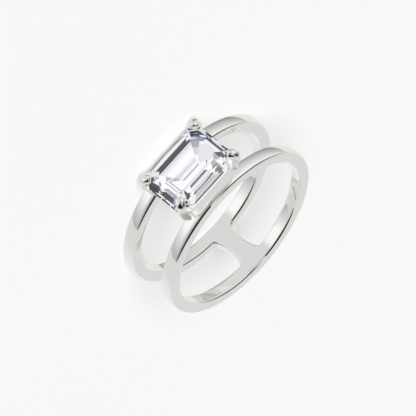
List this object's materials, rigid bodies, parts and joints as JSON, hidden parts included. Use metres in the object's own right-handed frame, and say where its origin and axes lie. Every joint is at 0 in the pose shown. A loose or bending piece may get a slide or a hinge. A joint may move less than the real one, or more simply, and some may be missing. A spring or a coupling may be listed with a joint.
{
  "type": "solitaire engagement ring",
  "caption": "Polished white metal ring with a split band joined at the palm side and a claw basket that holds a clear step-cut stone, lying on its side.",
  "frame": {"origin": "on the finger's axis, in the plane of the band face that the ring lies on", "axes": "+Z along the finger's axis, -Y from the axis towards the stone, X along the stone's length"},
  "size_m": [0.02, 0.0231, 0.007],
  "materials": {
    "polished_metal": "mirror-polished rhodium plate",
    "clear_stone": "polished facets"
  },
  "bodies": {
    "root": {"ring_mounting": "polished_metal", "center_stone": "clear_stone"}
  },
  "joints": []
}
